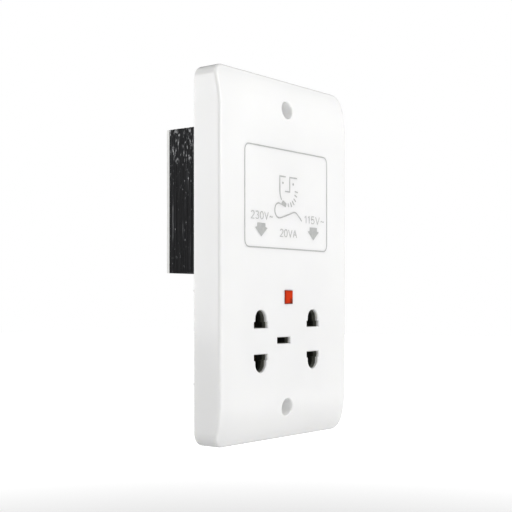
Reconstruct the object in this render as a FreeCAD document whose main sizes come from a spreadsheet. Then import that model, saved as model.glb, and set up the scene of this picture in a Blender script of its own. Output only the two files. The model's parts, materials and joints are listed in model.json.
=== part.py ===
import FreeCAD, Part
import math
import os
from types import SimpleNamespace

import Sketcher

# Dual-voltage shaver supply unit on a two-gang wall plate.
# Frame: +X to the right and +Z up as seen from the room, +Y into the wall.
# The origin is the middle of the plate, in the plane of its rim on the wall.

SIZES = {
    # Wall plate
    "plate_width": 86.0,
    "plate_height": 146.0,
    "plate_depth": 13.2,
    "front_wall": 2.0,
    "side_wall": 2.2,
    "corner_radius": 5.5,
    "edge_radius": 1.25,
    "rear_edge": 0.3,
    "aperture_edge": 0.3,
    "crown_run": 18.0,
    "crown_drop": 3.6,
    "fixing_centres": 120.6,
    "fixing_hole": 4.2,
    "fixing_recess": 7.0,
    "fixing_seat": 5.0,
    "fixing_boss": 10.4,
    "rib_thickness": 1.4,
    "rib_height": 4.0,
    # Plug apertures, measured from the middle of the outlets
    "outlet_drop": 33.1,
    "column_pitch": 35.6,
    "blade_slot_width": 8.6,
    "blade_slot_height": 2.5,
    "blade_slot_start": 5.15,
    "pin_slot_width": 7.0,
    "pin_slot_reach": 12.3,
    "release_slot_width": 8.8,
    "release_slot_height": 2.6,
    "release_slot_shift": 2.6,
    "release_slot_depth": 5.0,
    # Indicator
    "lens_width": 5.2,
    "lens_height": 5.4,
    "lens_shift": 0.5,
    "lens_drop": 15.6,
    "lens_proud": 0.4,
    "lens_flange": 0.9,
    "lens_flange_depth": 1.2,
    "lens_wall": 1.0,
    "neon_diameter": 4.2,
    "neon_length": 8.6,
    "resistor_diameter": 2.2,
    "resistor_length": 6.0,
    "wire_leg": 0.5,
    "leg_spread": 2.0,
    # Contact carrier behind the plate
    "carrier_half_width": 28.5,
    "carrier_above": 24.7,
    "carrier_below": 20.9,
    "block_depth": 11.7,
    "chamber_depth": 10.7,
    "neck_depth": 2.4,
    "carrier_corner": 3.0,
    "pillar_inset": 4.0,
    "pillar_diameter": 5.6,
    "pillar_short": 0.4,
    "cover_thickness": 2.0,
    "cover_inset": 1.0,
    "cover_edge": 0.5,
    "cover_screw": 2.5,
    "cover_screw_length": 11.0,
    "screw_head": 4.6,
    "screw_head_height": 1.6,
    "driver_slot": 0.8,
    "head_bevel": 0.5,
    "slip_fit": 0.1,
    "running_gap": 0.3,
    # Spring contacts
    "strip": 0.5,
    "contact_half_width": 3.75,
    "contact_throat": 3.6,
    "contact_length": 8.1,
    "throat_set_back": 4.9,
    "contact_bend": 1.8,
    "leaf_height": 6.5,
    "contact_flare": 1.2,
    "shoulder_width": 6.0,
    "tail_width": 2.5,
    "tail_proud": 3.3,
    "link_clearance": 1.0,
    # Plug-operated switch
    "carriage_width": 43.2,
    "carriage_height": 21.6,
    "carriage_thickness": 2.0,
    "carriage_travel": 5.0,
    "hub_diameter": 8.4,
    "hub_length": 2.8,
    "post_diameter": 4.8,
    "spring_wire": 0.7,
    "spring_diameter": 10.0,
    "spring_turns": 3.5,
    "bridge_rise": 8.0,
    "bridge_height": 3.0,
    "bridge_half_width": 9.4,
    "finger_length": 2.7,
    "blade_thickness": 0.6,
    "blade_shoulder_height": 4.5,
    "blade_tail_height": 2.1,
    "stake_diameter": 1.6,
    "stake_head": 2.6,
    "stake_spread": 13.6,
    # Mains terminals
    "terminal_pitch": 9.0,
    "terminal_clamp": 6.2,
    "terminal_clamp_height": 7.0,
    "terminal_wall": 1.4,
    "terminal_floor": 1.4,
    "terminal_corner": 0.8,
    "terminal_height": 10.0,
    "wire_hole": 3.6,
    "terminal_screw": 3.0,
    "terminal_screw_length": 2.5,
    "terminal_head": 4.2,
    "tab_width": 2.4,
    "tab_rise": 8.0,
    "peg_diameter": 2.0,
    # Transformer
    "core_top": 53.3,
    "core_width": 50.0,
    "core_limb": 9.5,
    "core_window": 10.0,
    "core_middle_limb": 20.0,
    "core_back": 10.0,
    "core_front": 5.0,
    "core_stack": 24.0,
    "core_gap": 0.25,
    "insulator_thickness": 1.4,
    "bobbin_wall": 1.0,
    "flange_thickness": 1.2,
    "winding_depth": 7.3,
    "tape_thickness": 0.3,
    "flange_lip": 0.7,
    "flange_corner": 3.0,
    "winding_corner": 5.0,
    "rail_height": 3.5,
    "rail_depth": 7.0,
    "rail_clearance": 1.5,
    "pin_row_half": 12.0,
    "pin_pitch": 5.0,
    "pin_diameter": 1.0,
    "pin_length": 1.6,
    "pin_seat": 1.8,
    "core_screw": 2.9,
    "core_screw_head": 5.6,
    "core_screw_head_height": 1.6,
    "core_screw_grip": 7.0,
    "core_pillar": 8.0,
    "cutout_width": 9.0,
    "cutout_height": 13.0,
    "cutout_depth": 2.6,
    # Insulated leads
    "lead_diameter": 1.4,
    "lead_set_back": 1.7,
    "lead_drop": 4.0,
}

doc = FreeCAD.newDocument("shaver_socket")
sheet = doc.addObject("Spreadsheet::Sheet", "sizes")
for row, (name, value) in enumerate(SIZES.items(), start=1):
    sheet.set(f"A{row}", name)
    sheet.set(f"B{row}", str(value))
    sheet.setAlias(f"B{row}", name)
doc.recompute()


class Length:
    """A number together with the sheet expression that gives it."""

    def __init__(self, value, text):
        self.value = value
        self.text = text

    def __add__(self, other):
        other = as_length(other)
        return Length(self.value + other.value, f"({self.text} + {other.text})")

    def __sub__(self, other):
        other = as_length(other)
        return Length(self.value - other.value, f"({self.text} - {other.text})")

    def __mul__(self, factor):
        factor = as_length(factor)
        return Length(self.value * factor.value, f"({self.text} * {factor.text})")

    def __truediv__(self, divisor):
        divisor = as_length(divisor)
        return Length(self.value / divisor.value, f"({self.text} / {divisor.text})")

    def __neg__(self):
        return Length(-self.value, f"(0 - {self.text})")

    def __rsub__(self, other):
        return as_length(other) - self

    __radd__ = __add__
    __rmul__ = __mul__


def as_length(amount):
    if isinstance(amount, Length):
        return amount
    return Length(float(amount), str(amount))


# Cuts start this far outside the solid. The seat of a fixing screw is a cone that takes this share
# of the room round its hole, and a lead's bend this share of its shorter run.
PAST = 1.0
SEAT_SHARE = 0.45
BEND_SHARE = 0.45

k = SimpleNamespace(**{name: Length(float(getattr(sheet, name)), f"sizes.{name}") for name in SIZES})


# Binding and movement

def bind(thing, prop, amount):
    thing.setExpression(prop, as_length(amount).text)


def put(thing, x, y, z):
    bind(thing, "Placement.Base.x", x)
    bind(thing, "Placement.Base.y", y)
    bind(thing, "Placement.Base.z", z)


finished = []


def finish(thing, label):
    thing.Label = label
    finished.append(thing)
    return thing


# Sketched outlines. A point is (u, v). A third entry makes the way to the next point an arc:
# (centre u, centre v, +1 for anticlockwise or -1 for clockwise).

def outline(points):
    def draw(sketch):
        pieces = []
        for index, point in enumerate(points):
            after = points[(index + 1) % len(points)]
            start = FreeCAD.Vector(as_length(point[0]).value, as_length(point[1]).value, 0)
            end = FreeCAD.Vector(as_length(after[0]).value, as_length(after[1]).value, 0)
            if len(point) == 2:
                pieces.append((sketch.addGeometry(Part.LineSegment(start, end)), 1, 2))
                continue
            middle_u, middle_v, turn = point[2]
            middle = FreeCAD.Vector(as_length(middle_u).value, as_length(middle_v).value, 0)
            circle = Part.Circle(middle, FreeCAD.Vector(0, 0, 1), (start - middle).Length)
            angles = [math.atan2(p.y - middle.y, p.x - middle.x) for p in (start, end)]
            if turn > 0:
                pieces.append((sketch.addGeometry(Part.ArcOfCircle(circle, *angles)), 1, 2))
            else:
                pieces.append((sketch.addGeometry(Part.ArcOfCircle(circle, *reversed(angles))), 2, 1))
            pin(sketch, "DistanceY", pieces[-1][0], 3, middle_v)
        for index, (geometry, first, last) in enumerate(pieces):
            following, joined, _ = pieces[(index + 1) % len(pieces)]
            sketch.addConstraint(Sketcher.Constraint("Coincident", geometry, last, following, joined))
            pin(sketch, "DistanceX", geometry, first, points[index][0])
            pin(sketch, "DistanceY", geometry, first, points[index][1])
    return draw


def pin(sketch, kind, geometry, vertex, amount):
    amount = as_length(amount)
    index = sketch.addConstraint(Sketcher.Constraint(kind, -1, 1, geometry, vertex, amount.value))
    sketch.setExpression(f"Constraints[{index}]", amount.text)


def rectangle(u, v):
    return outline([(u[0], v[0]), (u[1], v[0]), (u[1], v[1]), (u[0], v[1])])


def rounded(u, v, radius):
    left, right = u[0] + radius, u[1] - radius
    low, high = v[0] + radius, v[1] - radius
    return outline([(left, v[0]), (right, v[0], (right, low, 1)), (u[1], low), (u[1], high, (right, high, 1)),
                    (right, v[1]), (left, v[1], (left, high, 1)), (u[0], high), (u[0], low, (left, low, 1))])


def disc(u, v, diameter):
    def draw(sketch):
        middle = FreeCAD.Vector(as_length(u).value, as_length(v).value, 0)
        circle = Part.Circle(middle, FreeCAD.Vector(0, 0, 1), as_length(diameter).value / 2)
        geometry = sketch.addGeometry(circle)
        pin(sketch, "DistanceX", geometry, 3, u)
        pin(sketch, "DistanceY", geometry, 3, v)
        index = sketch.addConstraint(Sketcher.Constraint("Diameter", geometry, circle.Radius * 2))
        sketch.setExpression(f"Constraints[{index}]", as_length(diameter).text)
    return draw


def about(middle, size):
    half = as_length(size) / 2
    return middle - half, middle + half


# Bodies and their features

PLANES = {"x": ("YZ_Plane", 1), "y": ("XZ_Plane", -1), "z": ("XY_Plane", 1)}


def new_body(label):
    return finish(doc.addObject("PartDesign::Body", label), label)


def origin_plane(body, role):
    return next(item for item in body.Origin.OriginFeatures if item.Role == role)


def extrude(body, name, axis, span, *draws, remove=False):
    """Pad or pocket between two places on an axis of the body's own frame."""
    role, sense = PLANES[axis]
    low, high = as_length(span[0]), as_length(span[1])
    sketch = body.newObject("Sketcher::SketchObject", f"{name}_outline")
    sketch.AttachmentSupport = (origin_plane(body, role), [""])
    sketch.MapMode = "FlatFace"
    start = high if (sense > 0) == remove else low
    bind(sketch, "AttachmentOffset.Base.z", start * sense)
    for draw in draws:
        draw(sketch)
    feature = body.newObject("PartDesign::Pocket" if remove else "PartDesign::Pad", name)
    feature.Profile = sketch
    bind(feature, "Length", high - low)
    sketch.Visibility = False
    return feature


def mirror(body, name, features, role):
    feature = body.newObject("PartDesign::Mirrored", name)
    feature.Originals = features
    feature.MirrorPlane = (origin_plane(body, role), [""])
    body.Tip = feature
    return feature


def round_edges(body, name, radius, wanted, kind="Fillet"):
    doc.recompute()
    base = body.Tip
    edges = [f"Edge{n}" for n, edge in enumerate(base.Shape.Edges, start=1) if wanted(edge)]
    if not edges:
        raise RuntimeError(f"{name} finds no edges")
    feature = body.newObject(f"PartDesign::{kind}", name)
    feature.Base = (base, edges)
    bind(feature, "Size" if kind == "Chamfer" else "Radius", radius)
    return feature


def near(first, second, within=0.01):
    return abs(first - as_length(second).value) < within


def runs_along(edge, axis):
    first, last = edge.Vertexes[0].Point, edge.Vertexes[-1].Point
    others = [n for n in range(3) if n != "xyz".index(axis)]
    straight = all(abs(first[n] - last[n]) < 0.001 for n in others)
    return straight and len(edge.Vertexes) == 2 and edge.Length > 0.01


# Primitive solids and what is made of them

def block(name, x, y, z):
    solid = doc.addObject("Part::Box", name)
    bind(solid, "Length", x[1] - x[0])
    bind(solid, "Width", y[1] - y[0])
    bind(solid, "Height", z[1] - z[0])
    put(solid, x[0], y[0], z[0])
    return solid


TURNS = {"x": FreeCAD.Rotation(FreeCAD.Vector(0, 1, 0), 90),
         "y": FreeCAD.Rotation(FreeCAD.Vector(1, 0, 0), -90),
         "z": FreeCAD.Rotation()}


def rod(name, axis, centre, span, diameter):
    """A cylinder along an axis. The centre gives the two other coordinates in X, Y, Z order."""
    solid = doc.addObject("Part::Cylinder", name)
    solid.Placement.Rotation = TURNS[axis]
    bind(solid, "Radius", as_length(diameter) / 2)
    bind(solid, "Height", span[1] - span[0])
    place = list(centre)
    place.insert("xyz".index(axis), span[0])
    put(solid, *place)
    return solid


def tapered_rod(name, centre, span, wide, narrow):
    """A round bar along +Y that narrows from one diameter to another."""
    solid = doc.addObject("Part::Cone", name)
    solid.Placement.Rotation = TURNS["y"]
    bind(solid, "Radius1", as_length(wide) / 2)
    bind(solid, "Radius2", as_length(narrow) / 2)
    bind(solid, "Height", span[1] - span[0])
    put(solid, centre[0], span[0], centre[1])
    return solid


def fuse(name, solids):
    result = doc.addObject("Part::MultiFuse", name)
    result.Shapes = solids
    return result


def cut(name, base, tools):
    result = doc.addObject("Part::Cut", name)
    result.Base = base
    result.Tool = tools[0] if len(tools) == 1 else fuse(f"{name}_tools", tools)
    return result


def group(name, solids):
    result = doc.addObject("Part::Compound", name)
    result.Links = solids
    return result


def slotted_screw(name, x, z, seat, head, head_height, shank, length):
    """A screw driven from behind, its head on a seat that faces +Y."""
    top = seat + head_height
    rim = top - k.head_bevel
    body = fuse(f"{name}_body", [rod(f"{name}_shank", "y", (x, z), (seat - length, seat), shank),
                                 rod(f"{name}_head", "y", (x, z), (seat, rim), head),
                                 tapered_rod(f"{name}_bevel", (x, z), (rim, top), head,
                                             head - k.head_bevel * 2)])
    slot = block(f"{name}_slot", about(x, head + PAST), (seat + head_height / 2, top + PAST),
                 about(z, k.driver_slot))
    return cut(name, body, [slot])


# Places that several pieces share

wall_back = k.front_wall - k.plate_depth
outlet_z = -k.outlet_drop
column_x = k.column_pitch / 2
half_width = k.plate_width / 2
half_height = k.plate_height / 2
flat_half = half_height - k.crown_run
crown_radius = (k.crown_run * k.crown_run + k.crown_drop * k.crown_drop) / (k.crown_drop * 2)

neck_back = wall_back + k.neck_depth
chamber_front = wall_back + k.block_depth
carrier_back = chamber_front + k.chamber_depth
cover_back = carrier_back + k.cover_thickness
carrier_top = outlet_z + k.carrier_above
carrier_bottom = outlet_z - k.carrier_below
pillar_x = k.carrier_half_width - k.pillar_inset
pillar_z = (carrier_bottom + k.pillar_inset, carrier_top - k.pillar_inset)

lens_z = -k.lens_drop
lamp_bore = k.neon_diameter + k.running_gap * 2
flange_back = wall_back + k.lens_flange_depth
pocket_back = flange_back + k.running_gap
neon_front = pocket_back + k.slip_fit
neon_back = neon_front + k.neon_length

contact_back = chamber_front - k.running_gap
leaf_top = k.pin_slot_reach
leaf_bottom = leaf_top - k.leaf_height
tail_back = cover_back + k.tail_proud

carriage_front = chamber_front + k.running_gap
carriage_back = carriage_front + k.carriage_thickness
bridge_z = outlet_z + k.bridge_rise
blade_x = k.bridge_half_width + k.slip_fit
blade_front = carriage_back + k.carriage_travel + k.running_gap

terminal_front = cover_back + k.terminal_floor
terminal_half = k.terminal_pitch + k.terminal_clamp / 2 + k.slip_fit + k.terminal_wall
clamp_back = terminal_front + k.terminal_clamp
terminal_back = clamp_back + k.slip_fit + k.terminal_wall
tab_front = cover_back + k.tail_proud + k.terminal_floor

core_left = -k.core_width / 2
core_right = k.core_width / 2
core_height = k.core_limb * 2 + k.core_window * 2 + k.core_middle_limb
core_bottom = k.core_top - core_height
core_z = k.core_top - core_height / 2
core_back_face = k.core_front + k.core_stack
insulator_back = core_back_face + k.insulator_thickness
core_screw_x = k.core_width / 2 - k.core_back / 2
core_screw_z = core_height / 2 - k.core_limb / 2
window_half = k.core_window + k.core_middle_limb / 2
coil_half = k.core_width / 2 - k.core_back
stack_middle = k.core_front + k.core_stack / 2
tube_y = k.core_stack / 2 + k.core_gap + k.bobbin_wall
tube_z = k.core_middle_limb / 2 + k.core_gap + k.bobbin_wall
tape_y = tube_y + k.winding_depth + k.tape_thickness
tape_z = tube_z + k.winding_depth + k.tape_thickness
flange_y = tape_y + k.flange_lip
flange_z = tape_z + k.flange_lip
flange_outer = coil_half - k.core_gap
flange_inner = flange_outer - k.flange_thickness
winding_outer = flange_inner - k.slip_fit
winding_inner = k.flange_thickness / 2 + k.slip_fit
rail_bottom = core_z - flange_z - k.rail_height
pin_bottom = rail_bottom - k.pin_length
leg_x = (k.lens_shift - k.leg_spread / 2, k.lens_shift + k.leg_spread / 2)
resistor_front = neon_back + k.leg_spread
pocket_width = k.contact_half_width * 2 + k.strip + k.running_gap * 2
pocket_inner = leaf_bottom - k.running_gap
pocket_outer = leaf_top + k.strip + k.running_gap
stake_x = (-k.stake_spread / 2, k.stake_spread / 2)
peg_x = (-k.terminal_pitch / 2, k.terminal_pitch / 2)
clamp_y = terminal_front + k.terminal_clamp / 2
clamp_z = outlet_z - k.terminal_height / 2 + k.terminal_wall + k.slip_fit + k.terminal_clamp_height / 2
rail_middle = k.core_front - k.rail_clearance - k.rail_depth / 2
pin_x = (-k.pin_row_half, k.pin_pitch - k.pin_row_half, k.pin_row_half - k.pin_pitch * 2,
         k.pin_row_half - k.pin_pitch, k.pin_row_half)
side_x = terminal_half + k.lead_diameter + k.running_gap


def keyhole(column, side, margin):
    """Aperture for a flat blade and a round pin. Side is +1 above the outlet's middle, -1 below."""
    blade = k.blade_slot_width / 2 + margin
    slot = k.pin_slot_width / 2 + margin
    start = outlet_z + (k.blade_slot_start - margin) * side
    step = outlet_z + (k.blade_slot_start + k.blade_slot_height + margin) * side
    turn = outlet_z + (k.pin_slot_reach - k.pin_slot_width / 2) * side
    return outline([(column - blade, start), (column + blade, start), (column + blade, step),
                    (column + slot, step), (column + slot, turn, (column, turn, side)),
                    (column - slot, turn), (column - slot, step), (column - blade, step)])


def keyholes(margin):
    return [keyhole(column, side, margin) for column in (-column_x, column_x) for side in (-1, 1)]


def pillar_places():
    return [(x, z) for x in (-pillar_x, pillar_x) for z in pillar_z]


def core_screw_places():
    return [(x, core_z + rise) for x in (-core_screw_x, core_screw_x)
            for rise in (-core_screw_z, core_screw_z)]


# Wall plate

def crowned_side(front, end, reach):
    """Side view of the plate's front: flat, with an arc falling back to each end."""
    fall = (reach - flat_half) * (reach - flat_half) / (crown_radius * 2)
    edge = fall - front
    centre = crown_radius - front
    return [(end, -reach), (edge, -reach, (centre, -flat_half, -1)), (-front, -flat_half),
            (-front, flat_half, (centre, flat_half, -1)), (edge, reach), (end, reach)]


def front_plate():
    body = new_body("front_plate")
    extrude(body, "plate_form", "x", (-half_width, half_width),
            outline(crowned_side(k.plate_depth, 0, half_height)))

    def at_corner(edge):
        return runs_along(edge, "y") and near(abs(edge.CenterOfMass.z), half_height)

    def at_front_rim(edge):
        middle = edge.CenterOfMass
        beside = abs(middle.x) > (half_width - k.corner_radius).value
        beyond = abs(middle.z) > (half_height - k.corner_radius).value
        return edge.BoundBox.YMax < -0.01 and (beside or beyond)

    round_edges(body, "plate_corners", k.corner_radius, at_corner)
    round_edges(body, "plate_edges", k.edge_radius, at_front_rim)
    round_edges(body, "rear_edges", k.rear_edge, lambda edge: near(edge.BoundBox.YMin, 0), kind="Chamfer")

    inner_width = half_width - k.side_wall
    inner_height = half_height - k.side_wall
    inner_edge = k.crown_drop - k.plate_depth + k.front_wall
    extrude(body, "hollow", "y", (inner_edge, PAST), rectangle((-inner_width, inner_width),
                                                            (-inner_height, inner_height)), remove=True)

    def inner_corner(edge):
        return runs_along(edge, "y") and near(abs(edge.CenterOfMass.x), inner_width) \
            and near(abs(edge.CenterOfMass.z), inner_height)

    round_edges(body, "hollow_corners", k.corner_radius - k.side_wall, inner_corner)
    extrude(body, "hollow_crown", "x", (-inner_width, inner_width),
            outline(crowned_side(k.plate_depth - k.front_wall, inner_edge + k.rib_thickness, inner_height
                                 - k.side_wall)), remove=True)

    root = wall_back - k.front_wall / 4
    fixings = (-k.fixing_centres / 2, k.fixing_centres / 2)
    extrude(body, "fixing_bosses", "y", (root, 0), *[disc(0, z, k.fixing_boss) for z in fixings])
    extrude(body, "core_pillars", "y", (root, k.core_front),
            *[disc(x, z, k.core_pillar) for x, z in core_screw_places()])
    extrude(body, "carrier_pillars", "y", (root, carrier_back - k.pillar_short),
            *[disc(x, z, k.pillar_diameter) for x, z in pillar_places()])
    rib_half = half_width - k.side_wall / 2
    rib_levels = (carrier_top + k.running_gap, core_z + core_screw_z)
    extrude(body, "stiffening_ribs", "y", (root, wall_back + k.rib_height),
            *[rectangle(span, (level, level + k.rib_thickness)) for level in rib_levels
              for span in ((-rib_half, -core_screw_x), (core_screw_x, rib_half))])

    extrude(body, "fixing_recesses", "y", (-k.plate_depth - PAST, -k.fixing_seat),
            *[disc(0, z, k.fixing_recess) for z in fixings], remove=True)
    round_edges(body, "recess_mouths", k.aperture_edge,
                lambda edge: near(abs(edge.CenterOfMass.z), k.fixing_centres / 2, k.fixing_seat.value)
                and near(edge.BoundBox.XLength, k.fixing_recess, k.aperture_edge.value)
                and edge.BoundBox.YMax < (k.crown_drop - k.plate_depth).value, kind="Chamfer")
    extrude(body, "fixing_holes", "y", (-k.plate_depth, PAST),
            *[disc(0, z, k.fixing_hole) for z in fixings], remove=True)
    round_edges(body, "fixing_seats", (k.fixing_recess - k.fixing_hole) * SEAT_SHARE,
                lambda edge: near(edge.CenterOfMass.y, -k.fixing_seat)
                and near(edge.BoundBox.XLength, k.fixing_hole), kind="Chamfer")
    extrude(body, "core_pilots", "y", (wall_back + PAST, k.core_front + PAST),
            *[disc(x, z, k.core_screw + k.slip_fit) for x, z in core_screw_places()], remove=True)
    extrude(body, "carrier_pilots", "y", (wall_back + PAST, carrier_back + PAST),
            *[disc(x, z, k.cover_screw + k.slip_fit) for x, z in pillar_places()], remove=True)
    release_x = about(-k.release_slot_shift, k.release_slot_width)
    extrude(body, "apertures", "y", (-k.plate_depth - PAST, wall_back + k.front_wall / 2), *keyholes(0),
            rectangle(release_x, about(outlet_z, k.release_slot_height)),
            rectangle(about(k.lens_shift, k.lens_width + k.slip_fit * 2),
                      about(lens_z, k.lens_height + k.slip_fit * 2)), remove=True)

    def at_slot_mouth(edge):
        on_front = near(edge.BoundBox.YMax, -k.plate_depth)
        return on_front and near(edge.CenterOfMass.z, outlet_z, k.pin_slot_reach.value)

    round_edges(body, "slot_mouths", k.aperture_edge, at_slot_mouth, kind="Chamfer")


# Indicator

def indicator_lens():
    body = new_body("indicator_lens")
    front = -k.plate_depth - k.lens_proud
    extrude(body, "window", "y", (front, flange_back),
            rectangle(about(k.lens_shift, k.lens_width), about(lens_z, k.lens_height)))
    round_edges(body, "window_edge", k.lens_proud, lambda edge: near(edge.CenterOfMass.y, front))
    extrude(body, "flange", "y", (wall_back, flange_back),
            rectangle(about(k.lens_shift, k.lens_width + k.lens_flange * 2),
                      about(lens_z, k.lens_height + k.lens_flange * 2)))
    extrude(body, "light_well", "y", (front + k.lens_wall, flange_back + PAST),
            rectangle(about(k.lens_shift, k.lens_width - k.lens_wall * 2),
                      about(lens_z, k.lens_height - k.lens_wall * 2)), remove=True)


def neon_lamp():
    body = new_body("neon_lamp")
    extrude(body, "bulb", "y", (neon_front, neon_back), disc(k.lens_shift, lens_z, k.neon_diameter))
    round_edges(body, "bulb_nose", k.neon_diameter / 2 - k.slip_fit,
                lambda edge: near(edge.CenterOfMass.y, neon_front))
    extrude(body, "long_leg", "y", (neon_back, tail_back), disc(leg_x[0], lens_z, k.wire_leg))
    extrude(body, "short_leg", "y", (neon_back, resistor_front), disc(leg_x[1], lens_z, k.wire_leg))


def lamp_resistor():
    body = new_body("lamp_resistor")
    back = resistor_front + k.resistor_length
    extrude(body, "ceramic_body", "y", (resistor_front, back), disc(leg_x[1], lens_z, k.resistor_diameter))
    round_edges(body, "ends", k.resistor_diameter / 5,
                lambda edge: any(near(edge.CenterOfMass.y, end) for end in (resistor_front, back)))
    extrude(body, "leg", "y", (back, tail_back), disc(leg_x[1], lens_z, k.wire_leg))


# Moulding that holds the contacts, the lamp and the switch carriage

def contact_carrier():
    body = new_body("contact_carrier")
    outer = k.carrier_half_width
    extrude(body, "moulding", "y", (wall_back, carrier_back),
            rectangle((-outer, outer), (carrier_bottom, carrier_top)))
    round_edges(body, "corners", k.carrier_corner, lambda edge: runs_along(edge, "y"))
    extrude(body, "chamber", "y", (chamber_front, carrier_back + PAST),
            rectangle(about(0, k.carriage_width + k.running_gap * 2),
                      about(outlet_z, k.carriage_height + k.running_gap * 2)), remove=True)
    extrude(body, "contact_pockets", "y", (neck_back, carrier_back + PAST),
            *[rectangle(about(column, pocket_width),
                        (outlet_z + pocket_inner * side, outlet_z + pocket_outer * side))
              for column in (-column_x, column_x) for side in (-1, 1)], remove=True)
    extrude(body, "necks", "y", (wall_back - PAST, neck_back + PAST), *keyholes(k.slip_fit), remove=True)
    extrude(body, "pillar_bores", "y", (wall_back - PAST, carrier_back + PAST),
            *[disc(x, z, k.pillar_diameter + k.running_gap) for x, z in pillar_places()], remove=True)
    extrude(body, "lens_pocket", "y", (wall_back - PAST, pocket_back),
            rectangle(about(k.lens_shift, k.lens_width + k.lens_flange * 2 + k.running_gap * 2),
                      about(lens_z, k.lens_height + k.lens_flange * 2 + k.running_gap * 2)), remove=True)
    extrude(body, "lamp_passage", "y", (pocket_back - PAST, carrier_back + PAST),
            disc(k.lens_shift, lens_z, lamp_bore), remove=True)
    extrude(body, "release_pocket", "y", (wall_back - PAST, wall_back + k.release_slot_depth),
            rectangle(about(-k.release_slot_shift, k.release_slot_width),
                      about(outlet_z, k.release_slot_height)), remove=True)


def rear_cover():
    body = new_body("rear_cover")
    outer = k.carrier_half_width - k.cover_inset
    extrude(body, "lid", "y", (carrier_back, cover_back),
            rectangle((-outer, outer), (carrier_bottom + k.cover_inset, carrier_top - k.cover_inset)))
    round_edges(body, "corners", k.carrier_corner - k.cover_inset, lambda edge: runs_along(edge, "y"))
    round_edges(body, "rim", k.cover_edge, lambda edge: near(edge.CenterOfMass.y, cover_back), kind="Chamfer")
    extrude(body, "guide_post", "y", (carriage_back, carrier_back), disc(0, outlet_z, k.post_diameter))
    extrude(body, "screw_holes", "y", (carrier_back - PAST, cover_back + PAST),
            *[disc(x, z, k.cover_screw + k.running_gap) for x, z in pillar_places()], remove=True)
    extrude(body, "lamp_hole", "y", (carrier_back - PAST, cover_back + PAST),
            disc(k.lens_shift, lens_z, lamp_bore), remove=True)
    extrude(body, "tail_slots", "y", (carrier_back - PAST, cover_back + PAST),
            *[rectangle(about(column, k.tail_width + k.slip_fit * 2),
                        (outlet_z + (leaf_top - k.slip_fit) * side,
                         outlet_z + (leaf_top + k.strip + k.slip_fit) * side))
              for column in (-column_x, column_x) for side in (-1, 1)], remove=True)
    slot_x = (blade_x - k.slip_fit, blade_x + k.blade_thickness + k.slip_fit)
    extrude(body, "blade_slots", "y", (carrier_back - PAST, cover_back + PAST),
            *[rectangle((slot_x[0] * side, slot_x[1] * side),
                        about(bridge_z, k.blade_tail_height + k.slip_fit * 2))
              for side in (-1, 1)], remove=True)
    extrude(body, "peg_holes", "y", (carrier_back + k.cover_thickness / 4, cover_back + PAST),
            *[disc(x, outlet_z, k.peg_diameter + k.slip_fit * 2) for x in peg_x], remove=True)


def spring_contact(label, column, side):
    """Forked strip that grips a pin or a blade between two bowed leaves, with a tail to the rear."""
    body = new_body(label)
    if side < 0:
        body.Placement.Rotation = FreeCAD.Rotation(FreeCAD.Vector(0, 1, 0), 180)
    put(body, column, 0, outlet_z)
    fork, shoulder, tail = k.contact_half_width + k.strip / 2, k.shoulder_width / 2, k.tail_width / 2
    bend, stop = contact_back - k.contact_bend, carrier_back - k.slip_fit
    extrude(body, "web", "z", (leaf_top, leaf_top + k.strip),
            outline([(-fork, bend), (fork, bend), (fork, contact_back), (shoulder, contact_back),
                     (shoulder, stop), (tail, stop), (tail, tail_back), (-tail, tail_back),
                     (-tail, stop), (-shoulder, stop), (-shoulder, contact_back), (-fork, contact_back)]))
    throat = k.contact_throat / 2 + k.strip / 2
    stations = [(k.contact_half_width, contact_back), (k.contact_half_width, bend),
                (throat, contact_back - k.throat_set_back),
                (throat + k.contact_flare, contact_back - k.contact_length)]
    inner = [(x - k.strip / 2, y) for x, y in stations]
    outer = [(x + k.strip / 2, y) for x, y in reversed(stations)]
    leaf = extrude(body, "leaf", "z", (leaf_bottom, leaf_top), outline(inner + outer))
    mirror(body, "second_leaf", [leaf], "YZ_Plane")


def spring_contacts():
    spring_contact("contact_left_upper", -column_x, 1)
    spring_contact("contact_left_lower", -column_x, -1)
    spring_contact("contact_right_upper", column_x, 1)
    spring_contact("contact_right_lower", column_x, -1)


def common_link():
    tail_z = outlet_z - leaf_top - k.strip
    reach = column_x + k.tail_width / 2
    finish(block("common_link_strip", (-reach, reach), (cover_back + k.link_clearance, tail_back),
                 (tail_z - k.strip, tail_z)), "common_link")


# Switch that a plug's pins push back, with a bridge that wipes onto two blades

def switch_carriage():
    body = new_body("switch_carriage")
    extrude(body, "plate", "y", (carriage_front, carriage_back),
            rectangle(about(0, k.carriage_width), about(outlet_z, k.carriage_height)))
    round_edges(body, "corners", k.carrier_corner / 2, lambda edge: runs_along(edge, "y"))
    extrude(body, "hub", "y", (carriage_back, carriage_back + k.hub_length),
            disc(0, outlet_z, k.hub_diameter))
    extrude(body, "stakes", "y", (carriage_back, carriage_back + k.strip),
            *[disc(x, bridge_z, k.stake_diameter) for x in stake_x])
    extrude(body, "stake_heads", "y", (carriage_back + k.strip, carriage_back + k.strip * 2),
            *[disc(x, bridge_z, k.stake_head) for x in stake_x])
    extrude(body, "bore", "y", (carriage_front - PAST, carriage_back + k.hub_length + PAST),
            disc(0, outlet_z, k.post_diameter + k.running_gap * 2), remove=True)


def contact_bridge():
    body = new_body("contact_bridge")
    reach = k.bridge_half_width
    extrude(body, "bar", "y", (carriage_back, carriage_back + k.strip),
            rectangle((-reach, reach), about(bridge_z, k.bridge_height)))
    finger = extrude(body, "finger", "y", (carriage_back, carriage_back + k.strip + k.finger_length),
                     rectangle((reach - k.strip, reach), about(bridge_z, k.bridge_height)))
    mirror(body, "second_finger", [finger], "YZ_Plane")
    extrude(body, "stake_holes", "y", (carriage_back - PAST, carriage_back + k.strip + PAST),
            *[disc(x, bridge_z, k.stake_diameter + k.slip_fit * 2) for x in stake_x], remove=True)


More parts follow.
